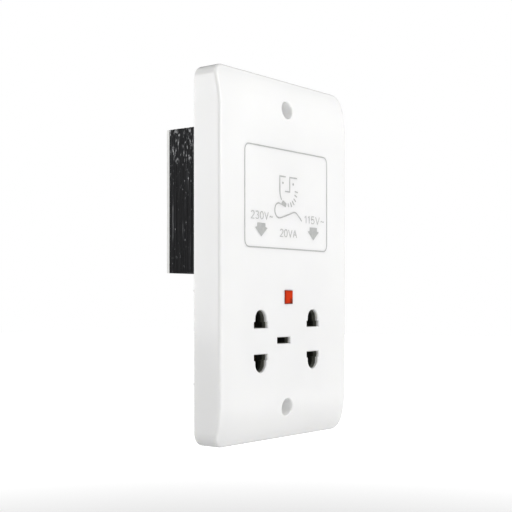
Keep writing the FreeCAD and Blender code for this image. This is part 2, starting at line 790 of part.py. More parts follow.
def switch_blade(label, side, end):
    """Fixed blade in the cover, with a shoulder inside and a tail behind."""
    body = new_body(label)
    low, high = blade_x, blade_x + k.blade_thickness
    span = (low, high) if side > 0 else (-high, -low)
    shoulder = carrier_back - k.blade_thickness * 2
    half, wide, tail = k.bridge_height / 2, k.blade_shoulder_height / 2, k.blade_tail_height / 2
    profile = [(blade_front, -half), (shoulder, -half), (shoulder, -wide), (carrier_back, -wide),
               (carrier_back, -tail), (end, -tail)]
    raised = [(y, bridge_z + z) for y, z in profile] + [(y, bridge_z - z) for y, z in reversed(profile)]
    extrude(body, "blade", "x", span, outline(raised))


def switch_blades():
    switch_blade("switch_blade_left", -1, tail_back)
    switch_blade("switch_blade_right", 1, tab_front)


def carriage_spring():
    body = new_body("carriage_spring")
    put(body, 0, carriage_back + k.spring_wire / 2, outlet_z)
    sketch = body.newObject("Sketcher::SketchObject", "wire_section")
    sketch.AttachmentSupport = (origin_plane(body, "XY_Plane"), [""])
    sketch.MapMode = "FlatFace"
    disc(k.spring_diameter / 2, 0, k.spring_wire)(sketch)
    doc.recompute()
    coil = body.newObject("PartDesign::AdditiveHelix", "coil")
    coil.Profile = sketch
    coil.ReferenceAxis = (sketch, ["V_Axis"])
    coil.Mode = 0
    free = carrier_back - carriage_back - k.spring_wire
    bind(coil, "Height", free)
    bind(coil, "Pitch", free / k.spring_turns)
    coil.Angle = 0


# Mains terminals

def poles():
    return [k.terminal_pitch * step for step in (-1, 0, 1)]


def terminal_block():
    body = new_body("terminal_block")
    z_low, z_high = about(outlet_z, k.terminal_height)
    extrude(body, "housing", "y", (cover_back, terminal_back),
            rectangle((-terminal_half, terminal_half), (z_low, z_high)))
    round_edges(body, "housing_corners", k.terminal_corner, lambda edge: runs_along(edge, "y"))
    barrier_back = terminal_back + k.terminal_wall
    extrude(body, "barriers", "y", (terminal_back, barrier_back),
            *[rectangle(about(x, k.terminal_wall), (z_low, z_high)) for x in peg_x])
    round_edges(body, "barrier_edges", k.terminal_wall / 4,
                lambda edge: near(edge.CenterOfMass.y, barrier_back), kind="Chamfer")
    extrude(body, "pegs", "y", (cover_back - k.cover_thickness / 2, cover_back),
            *[disc(x, outlet_z, k.peg_diameter) for x in peg_x])
    inside = k.terminal_clamp + k.slip_fit * 2
    extrude(body, "clamp_pockets", "z", (z_low + k.terminal_wall, z_high + PAST),
            *[rectangle(about(x, inside), (terminal_front - k.slip_fit, clamp_back + k.slip_fit))
              for x in poles()], remove=True)
    extrude(body, "wire_entries", "z", (z_low - PAST, z_low + k.terminal_wall + PAST),
            *[disc(x, clamp_y, k.wire_hole + k.running_gap) for x in poles()], remove=True)
    extrude(body, "screw_entries", "y", (clamp_back - PAST, terminal_back + PAST),
            *[disc(x, clamp_z, k.terminal_head + k.running_gap * 2) for x in poles()], remove=True)


def terminal_clamps():
    clamps = []
    for number, x in enumerate(poles(), start=1):
        low, high = about(clamp_z, k.terminal_clamp_height)
        barrel = block(f"clamp_barrel_{number}", about(x, k.terminal_clamp),
                       (terminal_front, clamp_back), (low, high))
        tab = block(f"clamp_tab_{number}", about(x, k.tab_width), (tab_front, tab_front + k.strip),
                    (high - k.strip, outlet_z + k.tab_rise))
        wire = rod(f"clamp_wire_hole_{number}", "z", (x, clamp_y),
                   (low - PAST, high - k.terminal_wall), k.wire_hole)
        screw = rod(f"clamp_screw_hole_{number}", "y", (x, clamp_z), (clamp_y, clamp_back + PAST),
                    k.terminal_screw + k.slip_fit)
        clamps.append(cut(f"clamp_{number}", fuse(f"clamp_body_{number}", [barrel, tab]), [wire, screw]))
    finish(group("clamp_set", clamps), "terminal_clamps")


def terminal_screws():
    finish(group("terminal_screw_set", [
        slotted_screw(f"terminal_screw_{number}", x, clamp_z, clamp_back, k.terminal_head,
                      k.terminal_wall, k.terminal_screw, k.terminal_screw_length)
        for number, x in enumerate(poles(), start=1)]), "terminal_screws")


# Transformer

def core_e_stack():
    body = new_body("core_e_stack")
    low, high = core_bottom, k.core_top
    middle = (core_z - k.core_middle_limb / 2, core_z + k.core_middle_limb / 2)
    corners = [(core_left, low), (coil_half, low), (coil_half, low + k.core_limb),
               (-coil_half, low + k.core_limb), (-coil_half, middle[0]), (coil_half, middle[0]),
               (coil_half, middle[1]), (-coil_half, middle[1]), (-coil_half, high - k.core_limb),
               (coil_half, high - k.core_limb), (coil_half, high), (core_left, high)]
    extrude(body, "laminations", "y", (k.core_front, core_back_face), outline(corners))
    extrude(body, "bolt_holes", "y", (k.core_front - PAST, core_back_face + PAST),
            *[disc(-core_screw_x, core_z + rise, k.core_screw + k.running_gap)
              for rise in (-core_screw_z, core_screw_z)], remove=True)


def core_i_stack():
    body = new_body("core_i_stack")
    extrude(body, "laminations", "y", (k.core_front, core_back_face),
            rectangle((coil_half, core_right), (core_bottom, k.core_top)))
    extrude(body, "bolt_holes", "y", (k.core_front - PAST, core_back_face + PAST),
            *[disc(core_screw_x, core_z + rise, k.core_screw + k.running_gap)
              for rise in (-core_screw_z, core_screw_z)], remove=True)


def round_limb(half, radius=None):
    """Rectangle round the middle limb, given by its half sizes along Y and Z."""
    u = (stack_middle - half[0], stack_middle + half[0])
    v = (core_z - half[1], core_z + half[1])
    return rectangle(u, v) if radius is None else rounded(u, v, radius)


def bobbin():
    body = new_body("bobbin")
    limb = (k.core_stack / 2 + k.core_gap, k.core_middle_limb / 2 + k.core_gap)
    extrude(body, "tube", "x", (-flange_outer, flange_outer), round_limb((tube_y, tube_z)))
    walls = {"left_flange": (-flange_outer, -flange_inner), "right_flange": (flange_inner, flange_outer),
             "partition": (-k.flange_thickness / 2, k.flange_thickness / 2)}
    for name, span in walls.items():
        extrude(body, name, "x", span, round_limb((flange_y, flange_z), k.flange_corner))
    rail_y = (k.core_front - k.rail_clearance - k.rail_depth, k.core_front - k.rail_clearance)
    extrude(body, "pin_rail", "z", (rail_bottom, core_z - flange_z + k.flange_lip / 2),
            rectangle((-flange_outer, flange_outer), rail_y))
    extrude(body, "limb_bore", "x", (-flange_outer - PAST, flange_outer + PAST), round_limb(limb),
            remove=True)
    extrude(body, "pin_holes", "z", (rail_bottom - PAST, rail_bottom + k.pin_seat + k.slip_fit),
            *[disc(x, rail_middle, k.pin_diameter + k.slip_fit) for x in pin_x], remove=True)


def bobbin_pins():
    finish(group("pin_set", [
        rod(f"pin_{number}", "z", (x, rail_middle), (pin_bottom, rail_bottom + k.pin_seat), k.pin_diameter)
        for number, x in enumerate(pin_x, start=1)]), "bobbin_pins")


def windings():
    wound = (tube_y + k.winding_depth, tube_z + k.winding_depth)
    sides = {"primary": (-winding_outer, -winding_inner), "secondary": (winding_inner, winding_outer)}
    for side, span in sides.items():
        extrude(new_body(f"{side}_winding"), "turns", "x", span,
                round_limb(wound, k.winding_corner), round_limb((tube_y, tube_z)))
        extrude(new_body(f"{side}_tape"), "wrap", "x", span,
                round_limb((tape_y, tape_z), k.winding_corner + k.tape_thickness),
                round_limb(wound, k.winding_corner))


def thermal_cutout():
    body = new_body("thermal_cutout")
    middle = (-winding_outer - winding_inner) / 2
    seat = stack_middle + tape_y
    extrude(body, "case", "y", (seat, seat + k.cutout_depth),
            rectangle(about(middle, k.cutout_width), about(core_z, k.cutout_height)))
    round_edges(body, "case_edges", k.cutout_depth / 4, lambda edge: edge.CenterOfMass.y > seat.value + 0.01)


def rear_insulator():
    body = new_body("rear_insulator")
    extrude(body, "sheet", "y", (core_back_face, insulator_back),
            rectangle((core_left, core_right), (core_bottom, k.core_top)))
    extrude(body, "coil_window", "y", (core_back_face - PAST, insulator_back + PAST),
            rectangle((-coil_half, coil_half), (core_z - window_half, core_z + window_half)), remove=True)
    extrude(body, "bolt_holes", "y", (core_back_face - PAST, insulator_back + PAST),
            *[disc(x, z, k.core_screw + k.running_gap) for x, z in core_screw_places()], remove=True)


# Screws

def core_screws():
    length = k.core_stack + k.insulator_thickness + k.core_screw_grip
    finish(group("core_screw_set", [
        slotted_screw(f"core_screw_{number}", x, z, insulator_back, k.core_screw_head,
                      k.core_screw_head_height, k.core_screw, length)
        for number, (x, z) in enumerate(core_screw_places(), start=1)]), "core_screws")


def cover_screws():
    finish(group("cover_screw_set", [
        slotted_screw(f"cover_screw_{number}", x, z, cover_back, k.screw_head,
                      k.screw_head_height, k.cover_screw, k.cover_screw_length)
        for number, (x, z) in enumerate(pillar_places(), start=1)]), "cover_screws")


# Insulated leads, as straight runs joined by tangent arcs

def lead(label, points):
    stops = [FreeCAD.Vector(*[as_length(amount).value for amount in point]) for point in points]
    edges = []
    start = stops[0]
    for before, corner, after in zip(stops, stops[1:], stops[2:]):
        back, ahead = before - corner, after - corner
        turn = math.pi - back.getAngle(ahead)
        run = BEND_SHARE * min(back.Length, ahead.Length)
        radius = run / math.tan(turn / 2)
        back.normalize()
        ahead.normalize()
        inward = back + ahead
        inward.normalize()
        enter, leave = corner + back * run, corner + ahead * run
        middle = corner + inward * (radius / math.cos(turn / 2) - radius)
        edges.append(Part.LineSegment(start, enter).toShape())
        edges.append(Part.Arc(enter, middle, leave).toShape())
        start = leave
        print(f"{label} bend radius {radius:.1f}")
    edges.append(Part.LineSegment(start, stops[-1]).toShape())
    path = Part.Wire(edges)
    section = Part.Wire(Part.makeCircle(k.lead_diameter.value / 2, stops[0], stops[1] - stops[0]))
    thing = doc.addObject("Part::Feature", label)
    thing.Shape = path.makePipeShell([section], True, True)
    expected = math.pi * k.lead_diameter.value ** 2 / 4 * path.Length
    if abs(thing.Shape.Volume / expected - 1) > 0.01:
        raise RuntimeError(f"{label} has the wrong volume")
    finish(thing, label)


def leads():
    gap_z = (core_bottom + carrier_top) / 2
    over = cover_back + k.lead_set_back
    turn = over + k.lead_set_back
    behind = tab_front + k.strip / 2
    crossing = behind + k.lead_diameter * 2 + k.running_gap
    upper_tail = outlet_z + leaf_top + k.strip + k.slip_fit
    lower_tail = outlet_z - leaf_top + k.slip_fit * 3
    blade_middle = blade_x + k.blade_thickness / 2
    starts = [[(x, rail_middle, pin_bottom), (x, rail_middle, gap_z)] for x in pin_x]
    lead("lead_switch", starts[0] + [(pin_x[0], turn, gap_z),
                                     (-blade_middle, over, bridge_z + k.blade_tail_height / 2 + k.slip_fit)])
    lead("lead_neutral", starts[1] + [(pin_x[1], behind, gap_z),
                                      (-k.terminal_pitch, behind, outlet_z + k.tab_rise + k.slip_fit * 2)])
    lead("lead_230_volt", starts[2] + [(pin_x[2], crossing, gap_z),
                                       (-column_x, crossing, gap_z - k.lead_drop),
                                       (-column_x, over + k.slip_fit, upper_tail + k.lead_drop),
                                       (-column_x, over, upper_tail)])
    lead("lead_common", starts[3] + [(pin_x[3], behind, gap_z), (side_x, behind, outlet_z + leaf_top),
                                     (side_x, behind - k.lead_diameter, outlet_z - k.lead_drop),
                                     (column_x, over, lower_tail)])
    lead("lead_115_volt", starts[4] + [(pin_x[4], turn, gap_z),
                                       (column_x, over + k.slip_fit, upper_tail + k.lead_drop),
                                       (column_x, over, upper_tail)])


PIECES = [front_plate, indicator_lens, neon_lamp, lamp_resistor, contact_carrier, rear_cover, spring_contacts,
          common_link, switch_carriage, contact_bridge, switch_blades, carriage_spring, terminal_block,
          terminal_clamps, terminal_screws, core_e_stack, core_i_stack, bobbin, bobbin_pins, windings,
          thermal_cutout, rear_insulator, core_screws, cover_screws, leads]

for make in PIECES:
    make()

doc.recompute()
faults = [item.Name for item in doc.Objects if {"Invalid", "Error"} & set(item.State)]
faults += [item.Label for item in finished if item.Shape.isNull() or not item.Shape.isValid()]
if faults:
    raise RuntimeError(f"failed: {faults}")

os.makedirs("parts", exist_ok=True)
for item in finished:
    item.Shape.exportStep(f"parts/{item.Label}.step")
    print(item.Label, len(item.Shape.Solids), round(item.Shape.Volume, 2))
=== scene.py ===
import json
import math
import random

import bmesh
import bpy
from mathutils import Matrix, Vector


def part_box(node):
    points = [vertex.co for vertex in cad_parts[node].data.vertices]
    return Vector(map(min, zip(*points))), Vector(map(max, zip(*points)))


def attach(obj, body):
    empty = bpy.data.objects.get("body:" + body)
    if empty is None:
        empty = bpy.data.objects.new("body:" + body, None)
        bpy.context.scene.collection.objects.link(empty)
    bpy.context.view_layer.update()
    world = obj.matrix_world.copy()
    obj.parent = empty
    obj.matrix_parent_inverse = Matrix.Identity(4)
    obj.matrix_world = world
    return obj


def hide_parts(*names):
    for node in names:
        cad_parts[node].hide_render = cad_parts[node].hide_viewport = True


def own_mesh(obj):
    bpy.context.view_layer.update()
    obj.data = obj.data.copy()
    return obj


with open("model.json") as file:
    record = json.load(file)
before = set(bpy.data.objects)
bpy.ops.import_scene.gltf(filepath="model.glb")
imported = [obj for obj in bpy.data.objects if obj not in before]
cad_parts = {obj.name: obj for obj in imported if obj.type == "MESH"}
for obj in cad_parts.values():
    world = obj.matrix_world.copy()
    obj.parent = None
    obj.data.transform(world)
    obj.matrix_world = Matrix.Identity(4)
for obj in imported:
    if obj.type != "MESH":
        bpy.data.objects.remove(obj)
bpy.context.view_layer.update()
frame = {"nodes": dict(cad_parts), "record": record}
cad_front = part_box("front_plate")[0].y

# Dressing for a dual-voltage shaver supply unit on a two-gang wall plate.
# Frame: +X to the right and +Z up as seen from the room, +Y into the wall, in metres.
# Lengths below are in millimetres and are turned into metres by mm().


def mm(*lengths):
    metres = [length / 1000 for length in lengths]
    return metres[0] if len(metres) == 1 else Vector(metres)


BODY = "unit"

# Camera, fitted to the plate's corners
CAMERA_PLACE = (-342.86, -263.79, -17.97)
CAMERA_TURN = -52.09
CAMERA_LENS = 73.43
CAMERA_SENSOR = 36
CAMERA_SHIFT = 0.0916
CAMERA_NEAR = 10.0

# Greys of the room, each after the height of the way to it, from level to overhead
SKY = ((0.0, 1.0), (0.35, 0.95), (0.65, 0.6), (1.0, 0.12))
AMBIENT = 1.0

# Dark parts of the room: the way to each, the cosines where it begins and ends, its share of light
DARKS = (
    ((0.82, 0.52, 0.2), (0.55, 0.85), 0.12),
    ((-0.79, -0.61, -0.05), (0.45, 0.85), 0.02),
)

# Soft lights: name, place, width and height, and brightness in plain whites
SOFTBOXES = (
    ("front_softbox", (100, -1700, 1000), (2000, 1650), 2.55),
    ("side_softbox", (-900, 731, 310), (500, 800), 2.7),
)

# Floor, whose glow grows with the distance from the middle
FLOOR_GREY = 0.6
FLOOR_GLOW = (0.06, 0.84)
FLOOR_FADE = (200.0, 750.0)
FLOOR_LEVEL = -190.0
FLOOR_SIZE = 9000.0

# Fixing recesses, painted lighter inside as painted light, which fades out between two distances
# from their axes
RECESS_LEVEL = 60.3
RECESS_SPAN = (3.45, 3.75)
RECESS_PAINTED_LIGHT = (0.95, 0.95, 0.945)

# Indicator lens, as places (x, z), with a darker rim and a dark spot that are painted shade, and
# clouds
LENS_PLACE = (0.5, -15.6)
LENS_RIM_SPAN = (1.5, 2.6)
LENS_RIM_PAINTED_SHADE = 0.3
LENS_PAINTED_SHADOW = (2.6, -17.7)
LENS_PAINTED_SHADOW_SPAN = (1.0, 2.0)
LENS_PAINTED_SHADOW_DEPTH = 0.5
LENS_CLOUD_SHADE = 0.25

# Contacts, darkened near the plate as painted shade in the openings, and the core's varnish, with
# painted glints near the top and fewer light streaks at the foot, by their depth and level
CONTACT_PAINTED_SHADE = (-6.5, -1.0)
VARNISH_PAINTED_GLINTS = (22, 50)
VARNISH_FOOT = (-4, 8)

# Print on the plate, as places (x, z) seen from the front
INK_THICKNESS = 0.03
INK_SINK = INK_THICKNESS / 3
INK_LINE = 0.44
MITRE_LIMIT = 0.5
FRAME_X = (-28.1, 28.1)
FRAME_Z = (3.9, 43.9)
FRAME_CORNER = 2.6

# Arrows: the middle, tip and top of each, and the sizes that they share
ARROWS = ((-17.65, 8.2, 13.5), (18.1, 8.3, 13.6))
ARROW_SHAFT = 2.6
ARROW_WING = 4.0
ARROW_SHOULDER = 1.5
ARROW_SLANT = 0.3

# Marks: the text, left end, base and width of each
MARKS = (("230V~", -24.2, 15.05, 14.0), ("115V~", 11.9, 15.2, 14.0), ("20VA", -5.3, 8.8, 11.4))
FIGURE_LINE = 0.32
FIGURE_HEIGHT = 2.95
FIGURE_GAP = 0.24

# Sign of a face and a shaver on its cord, as on every outlet of this kind
SIGN_LINE = 0.5
SIGN_FACE = (
    ((-1.5, 33.1), (-5.45, 33.1), (-5.45, 27.0), (-5.2, 25.4), (-4.3, 23.6)),
    ((6.4, 33.1), (1.3, 33.1), (1.3, 27.2), (-1.9, 27.2)),
)
SIGN_EYES = ((-3.4, 30.5), (3.7, 30.5))
SIGN_EYE_RADIUS = 0.5
SIGN_BEARD = (
    ((4.8, 27.7), (6.9, 27.4)), ((4.6, 26.2), (6.3, 25.5)), ((4.0, 24.7), (5.5, 23.5)),
    ((3.0, 23.7), (4.4, 22.1)), ((1.7, 23.0), (2.7, 21.2)), ((0.1, 22.5), (0.6, 21.0)),
)
SIGN_SHAVER = ((-3.4, 23.5), (-0.9, 22.3), (-1.5, 20.8), (-4.8, 21.7))
SIGN_CORD = (
    (-4.8, 21.9), (-6.6, 22.2), (-8.2, 21.2), (-8.8, 19.4), (-8.4, 17.7), (-7.1, 16.5), (-5.3, 16.3),
    (-2.2, 17.1), (1.1, 18.1), (4.0, 19.0), (5.6, 18.9), (7.0, 18.0), (8.5, 16.9), (9.6, 15.8),
)

# Openings, as distances from the outlets' level and columns
OUTLET_LEVEL = -33.1
OUTLET_COLUMN = 17.8
BLADE_HALF = 4.3
BLADE_SPAN = (5.15, 7.65)
PIN_HALF = 3.5
PIN_TURN = 8.8
PIN_STEPS = 16
RELEASE_COLUMN = -2.6
RELEASE_HALF = (4.4, 1.3)

# Rims in the openings: how deep they start and end, and how far their edges stand outside
RIM_DEPTHS = (1.3, 2.9)
RIM_MARGINS = (0.02, -0.13)

# Transformer core, as sheets that fill a part of their pitch and stand unevenly
SHEET_THICKNESS = 0.5
SHEET_FILL = 0.93
SHEET_SHIFT_X = (-0.09, 0.03)
SHEET_SHIFT_Z = (-0.06, 0.06)
CORE_LIMB = 9.5
CORE_MIDDLE_LIMB = 20.0
CORE_BACK = 10.0

# Solder: the half sizes of each kind of blob, and its step from the box of what it joins
TAIL_SOLDER = ((1.25, 1.35, 0.75), (0, -1.6, 0.15))
LINK_SOLDER = ((1.5, 0.9, 0.6), (0, -0.7, -0.25))
LEFT_BLADE_SOLDER = ((0.9, 1.2, 0.8), (0, -1.6, 1.0))
RIGHT_BLADE_SOLDER = ((1.0, 0.6, 1.2), (-0.3, -0.1, 0))
CLAMP_SOLDER = ((1.25, 0.8, 0.9), (3.1, 0.3, -0.2))
PIN_SOLDER = ((0.95, 0.95, 0.8), (0, 0, 0.1))
PIN_COLUMNS = (-12, -7, 2, 7, 12)
TAIL_FOOT = 0.5


# Camera and light

def camera():
    lens = bpy.data.cameras.new("camera")
    lens.lens = CAMERA_LENS
    lens.sensor_width = CAMERA_SENSOR
    lens.shift_y = CAMERA_SHIFT
    lens.clip_start = mm(CAMERA_NEAR)
    seat = bpy.data.objects.new("camera", lens)
    seat.location = mm(*CAMERA_PLACE)
    seat.rotation_euler = (math.radians(90), 0, math.radians(CAMERA_TURN))
    bpy.context.scene.collection.objects.link(seat)
    bpy.context.scene.camera = seat


def softbox(name, place, size, brightness):
    """A soft light that is turned to the origin."""
    light = bpy.data.lights.new(name, "AREA")
    light.shape = "RECTANGLE"
    light.size, light.size_y = mm(*size)
    light.energy = brightness * math.pi * light.size * light.size_y
    lamp = bpy.data.objects.new(name, light)
    lamp.location = mm(*place)
    lamp.rotation_euler = (-lamp.location).to_track_quat("-Z", "Y").to_euler()
    lamp.visible_camera = False
    bpy.context.scene.collection.objects.link(lamp)


def studio():
    """A soft room, which is plain white where the camera sees it."""
    world = bpy.data.worlds.new("studio")
    world.use_nodes = True
    tree = world.node_tree
    glow = tree.nodes["Background"]
    way = tree.nodes.new("ShaderNodeTexCoord").outputs["Generated"]
    split = tree.nodes.new("ShaderNodeSeparateXYZ")
    tree.links.new(way, split.inputs["Vector"])
    greys = [(height, (grey, grey, grey)) for height, grey in SKY]
    tree.links.new(ramp(tree, split.outputs["Z"], *greys), glow.inputs["Color"])
    strength = AMBIENT
    for dark_way, cosines, share in DARKS:
        toward = tree.nodes.new("ShaderNodeVectorMath")
        toward.operation = "DOT_PRODUCT"
        toward.inputs[1].default_value = Vector(dark_way).normalized()
        tree.links.new(way, toward.inputs[0])
        dimming = between(tree, toward.outputs["Value"], cosines, (1, share))
        strength = combine(tree, "MULTIPLY", dimming, strength)
    tree.links.new(strength, glow.inputs["Strength"])
    paper = tree.nodes.new("ShaderNodeBackground")
    paper.inputs["Color"].default_value = (1, 1, 1, 1)
    mix = tree.nodes.new("ShaderNodeMixShader")
    path = tree.nodes.new("ShaderNodeLightPath")
    tree.links.new(path.outputs["Is Camera Ray"], mix.inputs["Fac"])
    tree.links.new(glow.outputs["Background"], mix.inputs[1])
    tree.links.new(paper.outputs["Background"], mix.inputs[2])
    tree.links.new(mix.outputs["Shader"], tree.nodes["World Output"].inputs["Surface"])
    bpy.context.scene.world = world
    for name, place, size, brightness in SOFTBOXES:
        softbox(name, place, size, brightness)


def floor():
    half = mm(FLOOR_SIZE / 2)
    level = mm(FLOOR_LEVEL)
    corners = ((-half, -half), (half, -half), (half, half), (-half, half))
    mesh = bpy.data.meshes.new("floor")
    mesh.from_pydata([(x, y, level) for x, y in corners], [], [(0, 1, 2, 3)])
    ground = bpy.data.objects.new("floor", mesh)
    bpy.context.scene.collection.objects.link(ground)
    paint = (FLOOR_GREY, FLOOR_GREY, FLOOR_GREY)
    material, tree, shader = principled("floor_paint", paint, 1.0, Specular_IOR_Level=0.0,
                                        Emission_Color=(1, 1, 1, 1))
    place = tree.nodes.new("ShaderNodeTexCoord")
    away = tree.nodes.new("ShaderNodeVectorMath")
    away.operation = "LENGTH"
    tree.links.new(place.outputs["Object"], away.inputs[0])
    glow = between(tree, away.outputs["Value"], mm(*FLOOR_FADE), FLOOR_GLOW)
    tree.links.new(glow, shader.inputs["Emission Strength"])
    mesh.materials.append(material)


# Shader helpers. A texture's scale is in turns per millimetre.

def principled(name, color, roughness, **sockets):
    material = bpy.data.materials.new(name)
    material.use_nodes = True
    tree = material.node_tree
    shader = tree.nodes["Principled BSDF"]
    shader.inputs["Base Color"].default_value = (*color, 1)
    shader.inputs["Roughness"].default_value = roughness
    for socket, value in sockets.items():
        shader.inputs[socket.replace("_", " ")].default_value = value
    return material, tree, shader


def texture(tree, kind, scale, stretch=(1, 1, 1), bands=None, **settings):
    place = tree.nodes.new("ShaderNodeTexCoord")
    mapping = tree.nodes.new("ShaderNodeMapping")
    mapping.inputs["Scale"].default_value = [1000 * factor for factor in stretch]
    node = tree.nodes.new(f"ShaderNodeTex{kind}")
    if bands:
        node.bands_direction = bands
    tree.links.new(place.outputs["Object"], mapping.inputs["Vector"])
    tree.links.new(mapping.outputs["Vector"], node.inputs["Vector"])
    node.inputs["Scale"].default_value = scale
    for name, value in settings.items():
        node.inputs[name].default_value = value
    return node.outputs["Fac"]


def ramp(tree, value, *stops):
    """Colours for a value, each after the place where it stands."""
    node = tree.nodes.new("ShaderNodeValToRGB")
    tree.links.new(value, node.inputs["Fac"])
    elements = node.color_ramp.elements
    for place, _ in stops[1:-1]:
        elements.new(place)
    for element, (place, color) in zip(elements, stops):
        element.position = place
        element.color = (*color, 1)
    return node.outputs["Color"]


def between(tree, value, source, result):
    """Maps one span of numbers onto another."""
    node = tree.nodes.new("ShaderNodeMapRange")
    node.inputs["From Min"].default_value, node.inputs["From Max"].default_value = source
    node.inputs["To Min"].default_value, node.inputs["To Max"].default_value = result
    tree.links.new(value, node.inputs["Value"])
    return node.outputs["Result"]


def combine(tree, operation, first, second=0.0):
    node = tree.nodes.new("ShaderNodeMath")
    node.operation = operation
    for socket, value in zip(node.inputs, (first, second)):
        if isinstance(value, (int, float)):
            socket.default_value = value
        else:
            tree.links.new(value, socket)
    return node.outputs["Value"]


def coordinate(tree, axis, middle=0.0):
    """Distance along an axis from a place in millimetres, in metres."""
    place = tree.nodes.new("ShaderNodeTexCoord")
    split = tree.nodes.new("ShaderNodeSeparateXYZ")
    tree.links.new(place.outputs["Object"], split.inputs["Vector"])
    return combine(tree, "SUBTRACT", split.outputs[axis], mm(middle))


def from_place(tree, place):
    """Distance in metres from a place (x, z), along X or Z, whichever is the larger."""
    across = combine(tree, "ABSOLUTE", coordinate(tree, "X", place[0]))
    along = combine(tree, "ABSOLUTE", coordinate(tree, "Z", place[1]))
    return combine(tree, "MAXIMUM", across, along)


def relief(tree, shader, value, depth, strength=1.0):
    """Bump of a depth in millimetres, on top of any bump that the shader has."""
    node = tree.nodes.new("ShaderNodeBump")
    node.inputs["Distance"].default_value = mm(depth)
    node.inputs["Strength"].default_value = strength
    tree.links.new(value, node.inputs["Height"])
    if shader.inputs["Normal"].is_linked:
        tree.links.new(shader.inputs["Normal"].links[0].from_socket, node.inputs["Normal"])
    tree.links.new(node.outputs["Normal"], shader.inputs["Normal"])


def tint(tree, shader, value, *stops):
    tree.links.new(ramp(tree, value, *stops), shader.inputs["Base Color"])


def polish(tree, shader, value, low, high):
    tree.links.new(between(tree, value, (0, 1), (low, high)), shader.inputs["Roughness"])


# Materials: one for each slot of the record, and three for the print, the solder and the rims

def in_recess(tree):
    """One inside the fixing recesses, and nothing elsewhere."""
    rise = combine(tree, "ABSOLUTE", coordinate(tree, "Z"))
    rise = combine(tree, "SUBTRACT", rise, mm(RECESS_LEVEL))
    squares = [combine(tree, "POWER", side, 2.0) for side in (rise, coordinate(tree, "X"))]
    away = combine(tree, "SQRT", combine(tree, "ADD", *squares))
    return between(tree, away, mm(*RECESS_SPAN), (1, 0))


def white_moulding():
    material, tree, shader = principled("white_moulding", (0.8, 0.8, 0.79), 0.2, Coat_Weight=0.25,
                                        Coat_Roughness=0.06, Subsurface_Weight=1.0,
                                        Subsurface_Radius=(1.0, 1.0, 0.95), Subsurface_Scale=mm(2))
    cloud = texture(tree, "Noise", 0.03, Detail=2.0)
    clouded = ramp(tree, cloud, (0.3, (0.787, 0.787, 0.784)), (0.7, (0.81, 0.81, 0.807)))
    # Inside the fixing recesses the moulding is painted lighter: painted light.
    color = tree.nodes.new("ShaderNodeMixRGB")
    tree.links.new(in_recess(tree), color.inputs["Fac"])
    tree.links.new(clouded, color.inputs["Color1"])
    color.inputs["Color2"].default_value = (*RECESS_PAINTED_LIGHT, 1)
    tree.links.new(color.outputs["Color"], shader.inputs["Base Color"])
    polish(tree, shader, texture(tree, "Noise", 0.35, Detail=4.0), 0.16, 0.24)
    relief(tree, shader, cloud, 0.12, 0.5)
    relief(tree, shader, texture(tree, "Noise", 9.0, Detail=3.0), 0.004, 0.5)
    return material


def red_lens():
    material, tree, shader = principled("red_lens", (0.5, 0.02, 0.003), 0.3,
                                        Specular_IOR_Level=0.02)
    cloud = texture(tree, "Noise", 0.9, Detail=3.0)
    cloud_and_painted_shade = combine(tree, "MULTIPLY", cloud, LENS_CLOUD_SHADE)
    # The darker rim and the dark spot are painted shade on the lens; the clouds are its own tone.
    for place, span, painted_shades in ((LENS_PLACE, LENS_RIM_SPAN, (0, LENS_RIM_PAINTED_SHADE)),
                                (LENS_PAINTED_SHADOW, LENS_PAINTED_SHADOW_SPAN, (LENS_PAINTED_SHADOW_DEPTH, 0))):
        painted_shade_added = between(tree, from_place(tree, place), mm(*span), painted_shades)
        cloud_and_painted_shade = combine(tree, "ADD", cloud_and_painted_shade, painted_shade_added)
    tint(tree, shader, cloud_and_painted_shade, (0.0, (0.62, 0.045, 0.006)), (0.15, (0.56, 0.034, 0.005)),
         (0.6, (0.28, 0.022, 0.006)), (1.0, (0.09, 0.006, 0.002)))
    relief(tree, shader, texture(tree, "Wave", 0.9, bands="X"), 0.05, 0.4)
    return material


def lamp_glass():
    material, tree, shader = principled("lamp_glass", (0.95, 0.92, 0.88), 0.05,
                                        Transmission_Weight=0.9, IOR=1.5)
    polish(tree, shader, texture(tree, "Noise", 1.2), 0.02, 0.1)
    return material


def resistor_body():
    material, tree, shader = principled("resistor_body", (0.72, 0.6, 0.42), 0.35, Coat_Weight=0.5)
    tint(tree, shader, texture(tree, "Wave", 0.27, bands="Y"), (0.0, (0.35, 0.16, 0.05)),
         (0.25, (0.66, 0.52, 0.33)), (1.0, (0.72, 0.6, 0.42)))
    return material


def black_moulding():
    material, tree, shader = principled("black_moulding", (0.03, 0.03, 0.028), 0.42)
    fleck = texture(tree, "Noise", 3.0, Detail=5.0)
    tint(tree, shader, fleck, (0.35, (0.023, 0.025, 0.019)), (0.75, (0.052, 0.055, 0.043)))
    polish(tree, shader, fleck, 0.32, 0.5)
    relief(tree, shader, texture(tree, "Noise", 6.0, Detail=4.0), 0.01, 0.6)
    return material


def contact_brass():
    material, tree, shader = principled("contact_brass", (0.78, 0.58, 0.27), 0.28, Metallic=1.0)
    roll = texture(tree, "Noise", 1.0, stretch=(1, 0.12, 6), Detail=5.0)
    # The contacts are darkened towards the plate as painted shade inside the openings.
    painted_shade_in_openings = between(tree, coordinate(tree, "Y"), mm(*CONTACT_PAINTED_SHADE), (-0.5, 0.0))
    tint(tree, shader, combine(tree, "ADD", roll, painted_shade_in_openings), (0.0, (0.05, 0.035, 0.02)),
         (0.3, (0.62, 0.43, 0.18)), (0.7, (0.85, 0.66, 0.34)))
    polish(tree, shader, roll, 0.2, 0.42)
    relief(tree, shader, roll, 0.006, 0.6)
    return material


